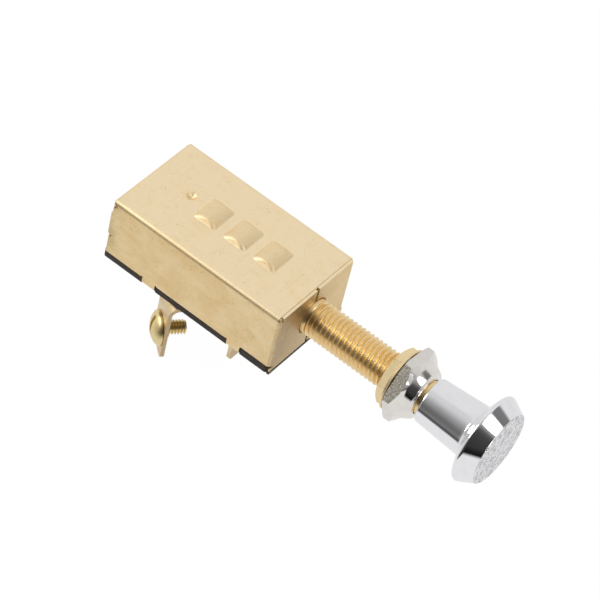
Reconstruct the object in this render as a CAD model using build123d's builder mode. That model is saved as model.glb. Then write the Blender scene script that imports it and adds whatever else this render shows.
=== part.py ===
"""Push-pull panel switch with three positions: off, on, on.

A folded brass case stands on a dark laminate base. A threaded brass bushing
comes out of its front, and a plunger with a bright knob slides through it.
Inside, the plunger carries a slide with a sprung contact plate, which joins
the rivets of the three terminals below the base, and a bowed leaf that clicks
into three arched pockets in the top of the case.

Frame: +X along the bushing towards the knob, +Z up through the top of the
case, origin on the bushing's axis at the outer face of the front flaps.
"""

import os
from math import cos, radians, sin, tan

from build123d import *

os.makedirs("parts", exist_ok=True)

# Case: one folded sheet
sheet = 0.64
bend = 1.0
case_width = 23.7
case_length = 42.65
case_top = 7.65
wall_foot = -6.85
tight_bend = 0.1
front_foot_rise = 0.4

# Front flaps, folded in from the side walls
top_front = -0.7
flap_top = 7.55
flap_foot = -7.15
seam_near = -0.4
seam_far = 0.35
bushing_notch_radius = 4.2
flap_corner_cut = 0.8

# Back flap, folded down from the top, with an ear of each side wall let into it
wall_back_step = 0.4
back_flap_gap = 0.11
ear_step = 0.35
ear_top = 3.35
ear_foot = -1.8
ear_reach = 3.5
ear_gap = 0.15
ear_relief = 0.6
corner_hole_radius = 0.65

# Tabs that hold the base
crimp_places = (-31.0, -9.18)
crimp_width = 3.2
crimp_reach = 2.4
crimp_bend = 0.9
crimp_relief_radius = 0.2

# Detent pockets and rear dimple, pressed in the top
pocket_places = (-26.6, -19.1, -11.6)
pocket_length = 5.5
pocket_width = 6.9
pocket_rise = 0.9
pocket_end_slope = 45.0
pocket_round = 1.2
pocket_foot_round = 0.4
dimple_place = (-32.75, 0.5)
dimple_radius = 1.15
dimple_depth = 0.6
dimple_tip_radius = 0.2
dimple_rim_round = 0.7

# Base board
base_thickness = 1.85
base_inset = 0.25
base_back_step = 0.15
base_front = -0.7
base_corner = 0.6
crimp_gap = 0.12

# End plate that carries the bushing
end_plate_thickness = 1.6
end_plate_side_gap = 0.41
end_plate_top_gap = 0.06
tongue_width = 12.0
tongue_depth = 0.5
tongue_gap = 0.05

# Bushing, 5/16-24 thread
thread_radius = 3.97
bushing_front = 29.2
bushing_bore_radius = 2.42
bushing_neck_radius = 3.3
swage_radius = 4.3
swage_thickness = 0.6
bushing_end_break = 0.45

# Nuts and washer on the bushing
nut_bore_radius = 4.0
jam_nut_back = 20.1
jam_nut_front = 22.1
jam_nut_across_flats = 11.0
jam_nut_turn = 43.8
washer_radius = 6.84
washer_thickness = 0.55
dress_nut_back = 23.1
dress_nut_across_flats = 14.2
dress_nut_turn = 49.0
dress_nut_length = 5.2
dress_nut_hex_length = 1.35
dress_nut_neck = (3.5, 5.7)
dress_nut_nose_radius = 5.25

# Plunger: shaft and knob
shaft_radius = 2.38
spigot_radius = 2.0
tail_radius = 1.9
knob_back = 29.45
knob_back_radius = 4.9
shank_end = 40.15
shank_end_radius = 5.65
rim_corner = (42.15, 10.0)
rim_round = 0.75
face_edge = (45.96, 7.97)
face_crown = 46.15
knob_mouth_depth = 1.0
knob_bore_end = 37.5

# Carriage, an insulating slide on the shaft; places along X count from the leaf's middle
travel = 15.0
tower_half_length = 4.65
tower_half_width = 6.0
nose_length = 3.8
nose_radius = 3.9
carriage_end_gap = 1.4
slab_side_gap = 0.26
slab_top = -2.4
slab_foot = -5.8
skid_width = 1.35
skid_foot = -6.7
bridge_roof = -4.9
spring_roof = -3.0
leaf_seat = 5.0
ridge_top = 6.7
ridge_thickness = 1.0
clip_radius = 3.6
clip_thickness = 0.5
clip_groove_radius = 1.35
clip_well = 0.9
tail_end = -33.5

# Detent leaf
leaf_thickness = 0.3
leaf_half_width = 2.3
leaf_half_chord = 3.2
leaf_rise = 2.3

# Contacts
contact_head_radius = 2.2
contact_head_height = 0.8
rivet_radius = 1.2
rivet_hole_radius = 1.25
rivet_tail_radius = 1.9
rivet_tail_height = 0.5
bridge_bottom = -5.97
bridge_thickness = 0.5
bridge_end_wall = 0.6
bridge_step = -0.3
bridge_front = 3.4
bridge_side_wall = 0.25
tongue_half_width = 2.6
bridge_gap = 0.25
bridge_break = 0.2
spring_radius = 1.55
spring_wire_radius = 0.175
spring_turns = 3.0
spring_pocket_radius = 2.0
spring_spot = (-7.5, 5.0)

# Terminals below the base
lug_thickness = 0.85
lug_width = 7.6
lug_bend = 1.5
lug_foot = 7.4
lug_corner = 0.9
lug_foot_round = 3.0
rivet_from_face = 4.5
side_lug_place = -27.1
side_lug_inset = 1.05
side_lug_turn = 50.0
side_lug_bottom = -23.7
front_lug_spot = (-14.5, 0.0)
front_lug_bottom = -22.65
lug_collar_radius = 2.1
lug_collar_length = 0.7

# Terminal screws, 5-40
screw_axis = -18.55
front_screw_axis = -17.7
screw_radius = 1.55
screw_hole_radius = 1.59
screw_length = 5.3
screw_head_radius = 3.75
screw_head_height = 1.9
screw_head_rim = 0.4
slot_width = 0.9
slot_depth = 0.9
slot_turns = (-63.0, -140.0, -15.0)

# Places worked out from the sizes above
half_width = case_width / 2
beyond = half_width + 1.25
case_back = -case_length
wall_back = case_back + wall_back_step
ear_face = case_back - ear_step
inner_top = case_top - sheet
base_bottom = wall_foot - base_thickness
base_half_width = half_width - base_inset
base_back = case_back - base_back_step
end_plate_half_width = half_width - sheet - end_plate_side_gap
end_plate_top = inner_top - end_plate_top_gap
plate_back = -sheet - end_plate_thickness
swage_back = plate_back - swage_thickness
carriage_place = pocket_places[0]
slab_back = case_back + sheet + carriage_end_gap - carriage_place
slab_half_width = half_width - sheet - slab_side_gap
skid_inner = slab_half_width - skid_width
bridge_back = slab_back + bridge_end_wall
bridge_half_width = skid_inner - bridge_side_wall - bridge_gap
nose_front = carriage_place + tower_half_length + nose_length
tower_back = carriage_place - tower_half_length
bridge_top = bridge_bottom + bridge_thickness
flap_half_width = half_width - sheet - back_flap_gap
side_lug_spot = (side_lug_place, base_half_width - side_lug_inset)
jam_nut_corner = jam_nut_across_flats / 2 / cos(radians(30))
dress_nut_corner = dress_nut_across_flats / 2 / cos(radians(30))
dress_nut_front = dress_nut_back + dress_nut_length


def block(x0, x1, y0, y1, z0, z1):
    """A box between six planes."""
    with BuildPart() as form:
        with Locations(((x0 + x1) / 2, (y0 + y1) / 2, (z0 + z1) / 2)):
            Box(abs(x1 - x0), abs(y1 - y0), abs(z1 - z0))
    return form.part


def turned(points):
    """A solid turned about the bushing's axis from a closed outline of (x, radius) points."""
    with BuildPart() as form:
        with BuildSketch(Plane.XY):
            with BuildLine():
                Polyline(*points, close=True)
            make_face()
        revolve(axis=Axis.X)
    return form.part


def round_bar(x0, x1, radius):
    """A cylinder along the bushing's axis."""
    with BuildPart() as form:
        with BuildSketch(Plane.YZ.offset(x0)):
            Circle(radius)
        extrude(amount=x1 - x0)
    return form.part


def hex_bar(x0, x1, across_flats, turn):
    """A hexagon along the bushing's axis, its first corner turned from +Y towards +Z."""
    with BuildPart() as form:
        with BuildSketch(Plane.YZ.offset(x0)):
            RegularPolygon(across_flats / 2, 6, major_radius=False, rotation=turn)
        extrude(amount=x1 - x0)
    return form.part


def case_shell(inset):
    """The top, side walls and back flap as a solid form, drawn in by the inset."""
    high = case_top - inset - wall_foot
    with BuildPart() as form:
        with BuildSketch(Plane.YZ.offset(case_back + inset)) as front_view:
            with Locations((0, wall_foot + high / 2)):
                Rectangle(case_width - 2 * inset, high)
            fillet(front_view.vertices().group_by(Axis.Y)[-1], bend - inset)
        extrude(amount=case_length + top_front - inset)
        with BuildSketch(Plane.XZ.offset(-half_width - 1)) as side_view:
            with Locations(((case_back + inset + 2) / 2, wall_foot + high / 2)):
                Rectangle(2 - case_back - inset, high)
            corner = side_view.vertices().group_by(Axis.Y)[-1].sort_by(Axis.X)[0]
            fillet(corner, bend - inset)
        extrude(amount=case_width + 2, mode=Mode.INTERSECT)
    return form.part


def pocket_form(place, inset):
    """One arched pocket: an arc along the case, pulled across it to sloping ends."""
    half = pocket_length / 2
    arc_radius = (half**2 + pocket_rise**2) / (2 * pocket_rise)
    centre = case_top + pocket_rise - arc_radius
    radius = arc_radius - inset
    foot = case_top - inset - sheet / 2
    peak = case_top + 2 * pocket_rise
    slope = radians(pocket_end_slope)
    top_reach = pocket_width / 2 - inset / sin(slope)
    with BuildPart() as form:
        with BuildSketch(Plane.XZ.offset(-pocket_width)):
            with Locations((place, centre)):
                Circle(radius)
            with Locations((place, foot)):
                Rectangle(3 * radius, 3 * radius, align=(Align.CENTER, Align.MAX), mode=Mode.SUBTRACT)
        extrude(amount=2 * pocket_width)
        with BuildSketch(Plane.YZ.offset(place - pocket_length)):
            with BuildLine():
                foot_reach = top_reach + (case_top - foot) / tan(slope)
                peak_reach = top_reach - (peak - case_top) / tan(slope)
                Polyline((-foot_reach, foot), (foot_reach, foot), (peak_reach, peak), (-peak_reach, peak),
                         close=True)
            make_face()
        extrude(amount=2 * pocket_length, mode=Mode.INTERSECT)
        crown = form.edges().filter_by(GeomType.ELLIPSE)
        fillet(crown, pocket_round - inset / 2)
    return form.part


# Case
with BuildPart() as case:
    add(case_shell(0))
    for place in pocket_places:
        add(pocket_form(place, 0))
    feet = case.edges().filter_by(
        lambda edge: abs(edge.center().Z - case_top) < 0.01
        and abs(edge.center().Y) < pocket_width
        and pocket_places[0] - pocket_length < edge.center().X < pocket_places[-1] + pocket_length)
    fillet(feet, pocket_foot_round)
    add(case_shell(sheet), mode=Mode.SUBTRACT)
    for place in pocket_places:
        add(pocket_form(place, sheet), mode=Mode.SUBTRACT)
    add(block(top_front - sheet - 0.1, top_front, -half_width + sheet, half_width - sheet,
              wall_foot, case_top - bend), mode=Mode.SUBTRACT)
    with BuildSketch(Plane.YZ.offset(top_front - sheet - 0.1)) as opening:
        with Locations((0, (wall_foot + inner_top) / 2)):
            Rectangle(case_width - 2 * sheet, inner_top - wall_foot)
        fillet(opening.vertices().group_by(Axis.Y)[-1], bend - sheet)
    extrude(amount=sheet + 0.2, mode=Mode.SUBTRACT)
    # Dimple pressed inwards behind the pockets
    with Locations((dimple_place[0], dimple_place[1], inner_top + 0.05)):
        Cone(dimple_tip_radius + sheet / 2, dimple_radius + sheet / 2, dimple_depth,
             align=(Align.CENTER, Align.CENTER, Align.MAX))
    with Locations((dimple_place[0], dimple_place[1], case_top)):
        Cone(dimple_tip_radius, dimple_radius, dimple_depth,
             align=(Align.CENTER, Align.CENTER, Align.MAX), mode=Mode.SUBTRACT)
    rim = case.edges().filter_by(GeomType.CIRCLE).filter_by(
        lambda edge: abs(edge.radius - dimple_radius) < 0.01 and abs(edge.center().Z - case_top) < 0.01)
    fillet(rim, dimple_rim_round)
    for side in (-1, 1):
        wall = side * half_width
        inner_wall = side * (half_width - sheet)
        flap_side = side * flap_half_width
        # The back flap parts from the wall below a relief hole
        add(block(case_back - 1, wall_back, flap_side, side * beyond, wall_foot - 1, case_top + 1),
            mode=Mode.SUBTRACT)
        add(block(case_back - 1, case_back + sheet + 0.05, flap_side, inner_wall, wall_foot - 1,
                  case_top - bend + 0.2), mode=Mode.SUBTRACT)
        with Locations(Location((wall_back + corner_hole_radius / 2, wall, case_top - bend - corner_hole_radius / 2),
                                (90, 0, 0))):
            Cylinder(corner_hole_radius, 3 * sheet, mode=Mode.SUBTRACT)
        # Ear folded over the back flap
        add(block(case_back - 0.1, case_back + sheet + 0.1, side * (half_width - ear_reach - ear_gap),
                  inner_wall, ear_foot - ear_gap, ear_top + ear_gap), mode=Mode.SUBTRACT)
        add(block(wall_back - 0.1, wall_back + ear_relief, inner_wall, side * beyond,
                  ear_foot - ear_relief, ear_foot), mode=Mode.SUBTRACT)
        with BuildSketch(Plane.XY.offset(ear_foot)):
            with BuildLine():
                FilletPolyline(
                    (ear_face + 2, wall),
                    (ear_face, wall),
                    (ear_face, side * (half_width - ear_reach)),
                    radius=bend,
                )
                Line((ear_face, side * (half_width - ear_reach)),
                     (ear_face + sheet, side * (half_width - ear_reach)))
                FilletPolyline(
                    (ear_face + sheet, side * (half_width - ear_reach)),
                    (ear_face + sheet, inner_wall),
                    (ear_face + 2, inner_wall),
                    radius=bend - sheet,
                )
                Line((ear_face + 2, inner_wall), (ear_face + 2, wall))
            make_face()
        extrude(amount=ear_top - ear_foot)
        # Front flap with its bend
        seam = seam_far if side > 0 else seam_near
        with BuildSketch(Plane.XY.offset(wall_foot)):
            with BuildLine():
                FilletPolyline((-1.2, wall), (0, wall), (0, seam), radius=bend)
                Line((0, seam), (-sheet, seam))
                FilletPolyline((-sheet, seam), (-sheet, inner_wall), (-1.2, inner_wall), radius=bend - sheet)
                Line((-1.2, inner_wall), (-1.2, wall))
            make_face()
        extrude(amount=case_top - bend - wall_foot)
        add(block(-sheet, 0, seam, side * (half_width - bend), case_top - bend - 0.1, flap_top))
        add(block(-sheet, 0, seam, side * (half_width - bend), flap_foot, wall_foot + 0.1))
        # The foot of the wall stands clear of the base in front of the tabs
        add(block(crimp_places[-1] + crimp_width / 2 + crimp_relief_radius, 0.1, side * (half_width - bend),
                  side * beyond, wall_foot - 0.5, wall_foot + front_foot_rise), mode=Mode.SUBTRACT)
        # Crimp tabs down the edge of the base and under it
        for place in crimp_places:
            for edge in (-1, 1):
                with Locations(Location((place + edge * (crimp_width / 2 + crimp_relief_radius), wall,
                                         wall_foot), (90, 0, 0))):
                    Cylinder(crimp_relief_radius, 3 * sheet, mode=Mode.SUBTRACT)
            with BuildSketch(Plane.YZ.offset(place - crimp_width / 2)):
                with BuildLine():
                    FilletPolyline(
                        (wall, wall_foot + sheet),
                        (wall, base_bottom),
                        (side * (half_width - crimp_reach), base_bottom),
                        radius=crimp_bend,
                    )
                    Line((side * (half_width - crimp_reach), base_bottom),
                         (side * (half_width - crimp_reach), base_bottom + sheet))
                    FilletPolyline(
                        (side * (half_width - crimp_reach), base_bottom + sheet),
                        (inner_wall, base_bottom + sheet),
                        (inner_wall, wall_foot + sheet),
                        radius=tight_bend,
                    )
                    Line((inner_wall, wall_foot + sheet), (wall, wall_foot + sheet))
                make_face()
            extrude(amount=crimp_width)
    # Notches of the front flaps round the bushing, and the cut corner of the far flap
    with BuildSketch(Plane.YZ.offset(-sheet - 0.05)):
        Circle(bushing_notch_radius)
    extrude(amount=sheet + 0.1, mode=Mode.SUBTRACT)
    far_corner = half_width - bend
    with BuildSketch(Plane.YZ.offset(-sheet - 0.05)):
        with BuildLine():
            Polyline((far_corner - flap_corner_cut, flap_foot), (far_corner, flap_foot + flap_corner_cut),
                     (far_corner + 0.1, flap_foot + flap_corner_cut), (far_corner + 0.1, flap_foot - 0.1),
                     (far_corner - flap_corner_cut, flap_foot - 0.1), close=True)
        make_face()
    extrude(amount=sheet + 0.1, mode=Mode.SUBTRACT)
case.part.label = "case"
export_step(case.part, "parts/case.step")

# Base board
side_turn = radians(side_lug_turn)
side_rivet = (-abs(side_lug_spot[0]) + rivet_from_face * cos(side_turn),
              side_lug_spot[1] - rivet_from_face * sin(side_turn))
front_rivet = (front_lug_spot[0] + rivet_from_face, 0.0)
rivet_spots = ((side_rivet[0], -side_rivet[1]), front_rivet, side_rivet)
with BuildPart() as base_board:
    add(block(base_back, base_front, -base_half_width, base_half_width, base_bottom, wall_foot))
    fillet(base_board.edges().filter_by(Axis.Z), base_corner)
    for side in (-1, 1):
        for place in crimp_places:
            reach = crimp_width / 2 + crimp_gap
            add(block(place - reach, place + reach, side * (half_width - sheet - crimp_gap), side * beyond,
                      base_bottom - 1,
                      wall_foot + 1), mode=Mode.SUBTRACT)
            add(block(place - reach, place + reach, side * (half_width - crimp_reach - crimp_gap), side * beyond,
                      base_bottom - 1, base_bottom + sheet + 0.02), mode=Mode.SUBTRACT)
    add(block(plate_back - tongue_gap, 1, -tongue_width / 2 - tongue_gap, tongue_width / 2 + tongue_gap,
              wall_foot - tongue_depth, wall_foot + 1), mode=Mode.SUBTRACT)
    for spot in rivet_spots:
        with Locations((spot[0], spot[1], wall_foot - base_thickness / 2)):
            Cylinder(rivet_hole_radius, 2 * base_thickness, mode=Mode.SUBTRACT)
base_board.part.label = "base_board"
export_step(base_board.part, "parts/base_board.step")

# End plate
with BuildPart() as bushing_plate:
    add(block(plate_back, -sheet, -end_plate_half_width, end_plate_half_width, wall_foot + 0.05,
              end_plate_top))
    fillet(bushing_plate.edges().filter_by(Axis.X), 0.6)
    add(block(plate_back, -sheet, -tongue_width / 2, tongue_width / 2, wall_foot - tongue_depth, 0))
    add(round_bar(plate_back - 1, 1, bushing_neck_radius + 0.02), mode=Mode.SUBTRACT)
bushing_plate.part.label = "bushing_plate"
export_step(bushing_plate.part, "parts/bushing_plate.step")

# Bushing: smooth collar, threaded length, neck through the plate and swaged rim behind it
with BuildPart() as threaded_bushing:
    add(turned([
        (swage_back, bushing_bore_radius + 0.3),
        (swage_back, swage_radius - 0.25),
        (swage_back + 0.25, swage_radius),
        (plate_back, swage_radius),
        (plate_back, bushing_neck_radius),
        (-sheet, bushing_neck_radius),
        (-sheet, thread_radius),
        (bushing_front - bushing_end_break, thread_radius),
        (bushing_front, thread_radius - bushing_end_break),
        (bushing_front, bushing_bore_radius + 0.15),
        (bushing_front - 0.15, bushing_bore_radius),
        (swage_back + 0.3, bushing_bore_radius),
    ]))
threaded_bushing.part.label = "threaded_bushing"
export_step(threaded_bushing.part, "parts/threaded_bushing.step")

# Jam nut, chamfered at the back
with BuildPart() as jam_nut:
    add(hex_bar(jam_nut_back, jam_nut_front, jam_nut_across_flats, jam_nut_turn))
    add(turned([
        (jam_nut_back, 0),
        (jam_nut_back, jam_nut_corner - 1.0),
        (jam_nut_back + 0.5, jam_nut_corner + 0.05),
        (jam_nut_front - 0.2, jam_nut_corner + 0.05),
        (jam_nut_front, jam_nut_corner - 0.25),
        (jam_nut_front, 0),
    ]), mode=Mode.INTERSECT)
    add(round_bar(jam_nut_back - 1, jam_nut_front + 1, nut_bore_radius), mode=Mode.SUBTRACT)
    chamfer(jam_nut.edges().filter_by(GeomType.CIRCLE).filter_by(lambda edge: edge.radius < nut_bore_radius + 0.1), 0.25)
jam_nut.part.label = "jam_nut"
export_step(jam_nut.part, "parts/jam_nut.step")

# Panel washer
with BuildPart() as panel_washer:
    add(round_bar(jam_nut_front, jam_nut_front + washer_thickness, washer_radius))
    chamfer(panel_washer.edges().filter_by(GeomType.CIRCLE), 0.12)
    add(round_bar(jam_nut_front - 1, jam_nut_front + 2, nut_bore_radius + 0.1), mode=Mode.SUBTRACT)
panel_washer.part.label = "panel_washer"
export_step(panel_washer.part, "parts/panel_washer.step")

# Dress nut: a hexagon running through a hollow cone into a round collar
with BuildPart() as dress_nut:
    with BuildSketch(Plane.XY):
        with BuildLine():
            neck_place = dress_nut_back + dress_nut_neck[0]
            hex_end = dress_nut_back + dress_nut_hex_length
            middle = ((hex_end + neck_place) / 2 - 0.35, (dress_nut_corner + dress_nut_neck[1]) / 2 + 0.1)
            Polyline((dress_nut_back, 0), (dress_nut_back, dress_nut_corner - 0.65),
                     (dress_nut_back + 0.3, dress_nut_corner + 0.1), (hex_end, dress_nut_corner + 0.1))
            ThreePointArc((hex_end, dress_nut_corner + 0.1), middle, (neck_place, dress_nut_neck[1]))
            Polyline((neck_place, dress_nut_neck[1]), (dress_nut_front - 0.45, dress_nut_nose_radius),
                     (dress_nut_front, dress_nut_nose_radius - 0.45), (dress_nut_front, 0), (dress_nut_back, 0))
        make_face()
    revolve(axis=Axis.X)
    add(hex_bar(dress_nut_back - 1, dress_nut_back + 9, dress_nut_across_flats, dress_nut_turn),
        mode=Mode.INTERSECT)
    add(round_bar(dress_nut_back - 1, dress_nut_back + 9, nut_bore_radius), mode=Mode.SUBTRACT)
    chamfer(dress_nut.edges().filter_by(GeomType.CIRCLE).filter_by(lambda edge: edge.radius < nut_bore_radius + 0.1), 0.3)
dress_nut.part.label = "dress_nut"
export_step(dress_nut.part, "parts/dress_nut.step")

# Knob
with BuildPart() as knob:
    with BuildSketch(Plane.XY) as knob_outline:
        with BuildLine():
            Polyline((knob_back, 0), (knob_back, knob_back_radius), (shank_end, shank_end_radius), rim_corner,
                     face_edge)
            Polyline(face_edge, (face_crown, 0), (knob_back, 0))
        make_face()
        corners = knob_outline.vertices()
        fillet(corners.sort_by_distance((knob_back, knob_back_radius))[0], 0.4)
        fillet(knob_outline.vertices().sort_by_distance((shank_end, shank_end_radius))[0], 0.5)
        fillet(knob_outline.vertices().sort_by_distance(rim_corner)[0], rim_round)
        fillet(knob_outline.vertices().sort_by_distance(face_edge)[0], 0.3)
    revolve(axis=Axis.X)
    add(round_bar(knob_back - 1, knob_back + knob_mouth_depth, shaft_radius + 0.07), mode=Mode.SUBTRACT)
    add(round_bar(knob_back - 1, knob_bore_end, spigot_radius + 0.02), mode=Mode.SUBTRACT)
knob.part.label = "knob"
export_step(knob.part, "parts/knob.step")

# Plunger shaft, with a spigot for the knob and a grooved tail for the carriage
clip_front = tower_back
clip_back = clip_front - clip_thickness - 0.05
with BuildPart() as plunger_shaft:
    add(turned([
        (tail_end, 0),
        (tail_end, tail_radius - 0.3),
        (tail_end + 0.3, tail_radius),
        (clip_back, tail_radius),
        (clip_back, clip_groove_radius),
        (clip_front, clip_groove_radius),
        (clip_front, tail_radius),
        (nose_front, tail_radius),
        (nose_front, shaft_radius),
        (knob_back + knob_mouth_depth, shaft_radius),
        (knob_back + knob_mouth_depth, spigot_radius),
        (knob_bore_end - 0.8, spigot_radius),
        (knob_bore_end - 0.5, spigot_radius - 0.3),
        (knob_bore_end - 0.5, 0),
    ]))
plunger_shaft.part.label = "plunger_shaft"
export_step(plunger_shaft.part, "parts/plunger_shaft.step")

# Carriage
xc = carriage_place
with BuildPart() as carriage:
    add(block(xc + slab_back, xc + tower_half_length, -slab_half_width, slab_half_width, slab_foot, slab_top))
    for side in (-1, 1):
        add(block(xc + slab_back, xc + tower_half_length, side * skid_inner, side * slab_half_width,
                  skid_foot, slab_foot))
    fillet(carriage.edges().filter_by(Axis.Z), 0.5)
    add(block(tower_back, xc + tower_half_length, -tower_half_width, tower_half_width, slab_top - 0.5,
              leaf_seat))
    add(block(tower_back, tower_back + ridge_thickness, -tower_half_width, tower_half_width, leaf_seat - 1,
              ridge_top))
    add(block(xc + tower_half_length - ridge_thickness, xc + tower_half_length, -tower_half_width,
              tower_half_width, leaf_seat - 1, ridge_top))
    for side in (-1, 1):
        add(block(tower_back, xc + tower_half_length, side * (tower_half_width - 1), side * tower_half_width,
                  leaf_seat - 1, ridge_top))
    chamfer(carriage.edges().group_by(Axis.Z)[-1].filter_by(Axis.Y), 0.3)
    add(round_bar(xc + tower_half_length - 0.5, nose_front, nose_radius))
    # Recess for the contact plate and pockets for its springs
    add(block(xc + bridge_back - bridge_gap, xc + bridge_step + bridge_gap, -bridge_half_width - bridge_gap,
              bridge_half_width + bridge_gap, slab_foot - 0.1, bridge_roof), mode=Mode.SUBTRACT)
    add(block(xc + bridge_step, xc + bridge_front + bridge_gap, -tongue_half_width - bridge_gap,
              tongue_half_width + bridge_gap, slab_foot - 0.1, bridge_roof), mode=Mode.SUBTRACT)
    for side in (-1, 1):
        with Locations((xc + spring_spot[0], side * spring_spot[1], spring_roof)):
            Cylinder(spring_pocket_radius, spring_roof - bridge_roof + 0.1,
                     align=(Align.CENTER, Align.CENTER, Align.MAX), mode=Mode.SUBTRACT)
    # Well for the clip behind the tower, and the bore
    add(block(tower_back - clip_well, tower_back, -clip_radius - 0.3, clip_radius + 0.3, -clip_radius - 0.2,
              0), mode=Mode.SUBTRACT)
    add(round_bar(xc - 20, nose_front + 1, tail_radius + 0.02), mode=Mode.SUBTRACT)
carriage.part.label = "carriage"
export_step(carriage.part, "parts/carriage.step")

# Shaft clip, open at one side
with BuildPart() as shaft_clip:
    add(round_bar(clip_front - clip_thickness, clip_front, clip_radius))
    add(round_bar(clip_front - 1, clip_front + 1, clip_groove_radius), mode=Mode.SUBTRACT)
    add(block(clip_front - 1, clip_front + 1, -clip_groove_radius * 0.9, clip_groove_radius * 0.9, -5, 0),
        mode=Mode.SUBTRACT)
    for turn in (40, 140):
        with Locations((clip_front, 2.6 * cos(radians(turn)), 2.6 * sin(radians(turn)))):
            Box(2, 1.0, 0.9, mode=Mode.SUBTRACT)
shaft_clip.part.label = "shaft_clip"
export_step(shaft_clip.part, "parts/shaft_clip.step")

# Detent leaf, bowed between the ridges of the carriage
leaf_inner_radius = (leaf_half_chord**2 + leaf_rise**2) / (2 * leaf_rise)
leaf_centre = leaf_seat + leaf_rise - leaf_inner_radius
leaf_outer_radius = leaf_inner_radius + leaf_thickness
with BuildPart() as detent_leaf:
    with BuildSketch(Plane.XZ.offset(-leaf_half_width)):
        with Locations((xc, leaf_centre)):
            Circle(leaf_outer_radius)
            Circle(leaf_inner_radius, mode=Mode.SUBTRACT)
        with Locations((xc, leaf_seat)):
            Rectangle(20, 20, align=(Align.CENTER, Align.MAX), mode=Mode.SUBTRACT)
    extrude(amount=2 * leaf_half_width)
detent_leaf.part.label = "detent_leaf"
export_step(detent_leaf.part, "parts/detent_leaf.step")

# Contact bridge
with BuildPart() as contact_bridge:
    add(block(xc + bridge_back, xc + bridge_step, -bridge_half_width, bridge_half_width, bridge_bottom, bridge_top))
    add(block(xc + bridge_step - 1, xc + bridge_front, -tongue_half_width, tongue_half_width, bridge_bottom,
              bridge_top))
    outer = contact_bridge.edges().filter_by(Axis.Z).filter_by(
        lambda edge: abs(edge.center().Y) > bridge_half_width - 0.1 or edge.center().X > xc + bridge_front - 0.1)
    fillet(outer, 0.6)
    lower_front = contact_bridge.edges().filter_by(Axis.Y).group_by(Axis.Z)[0].filter_by(
        lambda edge: edge.center().X > xc + bridge_step - 0.1)
    chamfer(lower_front, bridge_break)
contact_bridge.part.label = "contact_bridge"
export_step(contact_bridge.part, "parts/contact_bridge.step")


def contact_spring(side):
    """One coil spring between the contact bridge and the roof of its pocket."""
    rise = spring_roof - bridge_top - 2 * spring_wire_radius
    with BuildPart() as form:
        with BuildLine() as path:
            Helix(rise / spring_turns, rise, spring_radius,
                  center=(xc + spring_spot[0], side * spring_spot[1], bridge_top + spring_wire_radius))
        with BuildSketch(Plane(origin=path.line @ 0, z_dir=path.line % 0)):
            Circle(spring_wire_radius)
        sweep(is_frenet=True)
    return form.part


with BuildPart() as contact_spring_1:
    add(contact_spring(-1))
contact_spring_1.part.label = "contact_spring_1"
export_step(contact_spring_1.part, "parts/contact_spring_1.step")

with BuildPart() as contact_spring_2:
    add(contact_spring(1))
contact_spring_2.part.label = "contact_spring_2"
export_step(contact_spring_2.part, "parts/contact_spring_2.step")


def lug(spot, turn, bottom, axis):
    """An L-shaped terminal: the foot runs from the upright along the turned direction."""
    along = Vector(cos(radians(turn)), sin(radians(turn)), 0)
    across = Vector(along.Y, -along.X, 0)
    profile = Plane(origin=(spot[0], spot[1], 0), x_dir=along, z_dir=across)
    with BuildPart() as form:
        with BuildSketch(profile.offset(-lug_width / 2)):
            with BuildLine():
                FilletPolyline((0, bottom), (0, base_bottom), (lug_foot, base_bottom),
                               radius=lug_bend + lug_thickness)
                Line((lug_foot, base_bottom), (lug_foot, base_bottom - lug_thickness))
                FilletPolyline((lug_foot, base_bottom - lug_thickness),
                               (lug_thickness, base_bottom - lug_thickness), (lug_thickness, bottom),
                               radius=lug_bend)
                Line((lug_thickness, bottom), (0, bottom))
            make_face()
        extrude(amount=lug_width)
        foot_end = form.edges().filter_by(Axis.Z).filter_by(
            lambda edge: edge.center().Z > base_bottom - lug_thickness)
        fillet(foot_end, lug_foot_round)
        lower_corners = form.edges().filter_by(
            lambda edge: abs(edge.length - lug_thickness) < 0.01 and abs(edge.center().Z - bottom) < 0.01)
        fillet(lower_corners, lug_corner)
        face = Plane(origin=(spot[0], spot[1], axis), x_dir=across, z_dir=along)
        with BuildSketch(face.offset(lug_thickness)):
            Circle(lug_collar_radius)
        extrude(amount=lug_collar_length)
        with BuildSketch(face.offset(-1)):
            Circle(screw_hole_radius)
        extrude(amount=4, mode=Mode.SUBTRACT)
        hole = Vector(spot[0], spot[1], base_bottom) + along * rivet_from_face
        with Locations(hole):
            Cylinder(rivet_hole_radius, 4, mode=Mode.SUBTRACT)
    return form.part


def screw(spot, turn, axis, slot_turn):
    """A slotted screw with a low domed head on the lug's outer face."""
    along = Vector(cos(radians(turn)), sin(radians(turn)), 0)
    across = Vector(along.Y, -along.X, 0)
    seat = Vector(spot[0], spot[1], axis)
    dome = screw_head_height - screw_head_rim
    dome_radius = (screw_head_radius**2 + dome**2) / (2 * dome)
    with BuildPart() as form:
        with BuildSketch(Plane(origin=seat, x_dir=along, z_dir=across)):
            with BuildLine():
                Polyline((-screw_head_rim, screw_head_radius), (0, screw_head_radius), (0, screw_radius),
                         (screw_length - 0.3, screw_radius), (screw_length, screw_radius - 0.3),
                         (screw_length, 0), (-screw_head_height, 0))
                RadiusArc((-screw_head_height, 0), (-screw_head_rim, screw_head_radius), dome_radius)
            make_face()
        revolve(axis=Axis(seat, along))
        with BuildSketch(Plane(origin=seat, x_dir=across, z_dir=along).offset(-screw_head_height)):
            Rectangle(3 * screw_head_radius, slot_width, rotation=slot_turn)
        extrude(amount=slot_depth, mode=Mode.SUBTRACT)
    return form.part


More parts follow.
